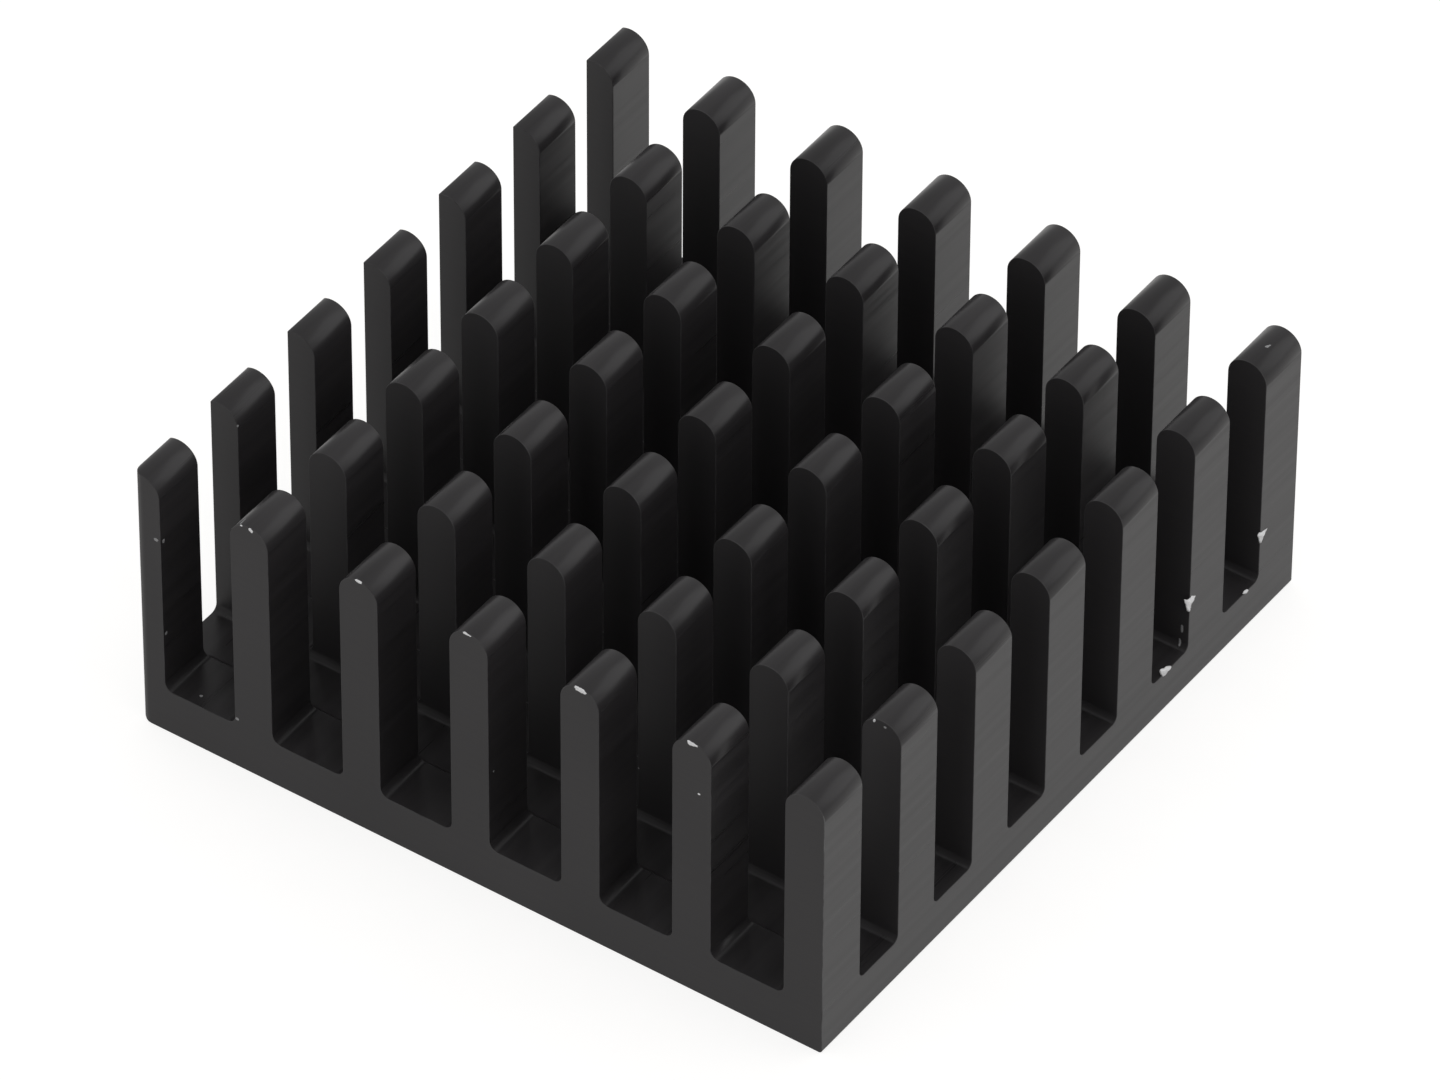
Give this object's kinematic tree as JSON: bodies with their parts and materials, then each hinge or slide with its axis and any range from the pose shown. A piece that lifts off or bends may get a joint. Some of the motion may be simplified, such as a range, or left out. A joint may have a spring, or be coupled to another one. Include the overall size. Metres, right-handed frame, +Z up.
{
  "type": "pin fin heat sink",
  "caption": "Square grid of rectangular pins with arched tops on a thin flat base, cut from a black anodised aluminium extrusion, that carries heat from a chip into the air.",
  "frame": {"origin": "centre of the flat underside of the base, on the surface the heat sink rests on", "axes": "+Z up through the pins; X runs across the extruded fins, with the thinner trimmed fin on the -X side; Y runs along the fins"},
  "size_m": [0.0252, 0.0254, 0.0101],
  "materials": {
    "black_anodised_aluminium": "satin black anodised"
  },
  "bodies": {
    "root": {"heat_sink": "black_anodised_aluminium"}
  },
  "joints": []
}
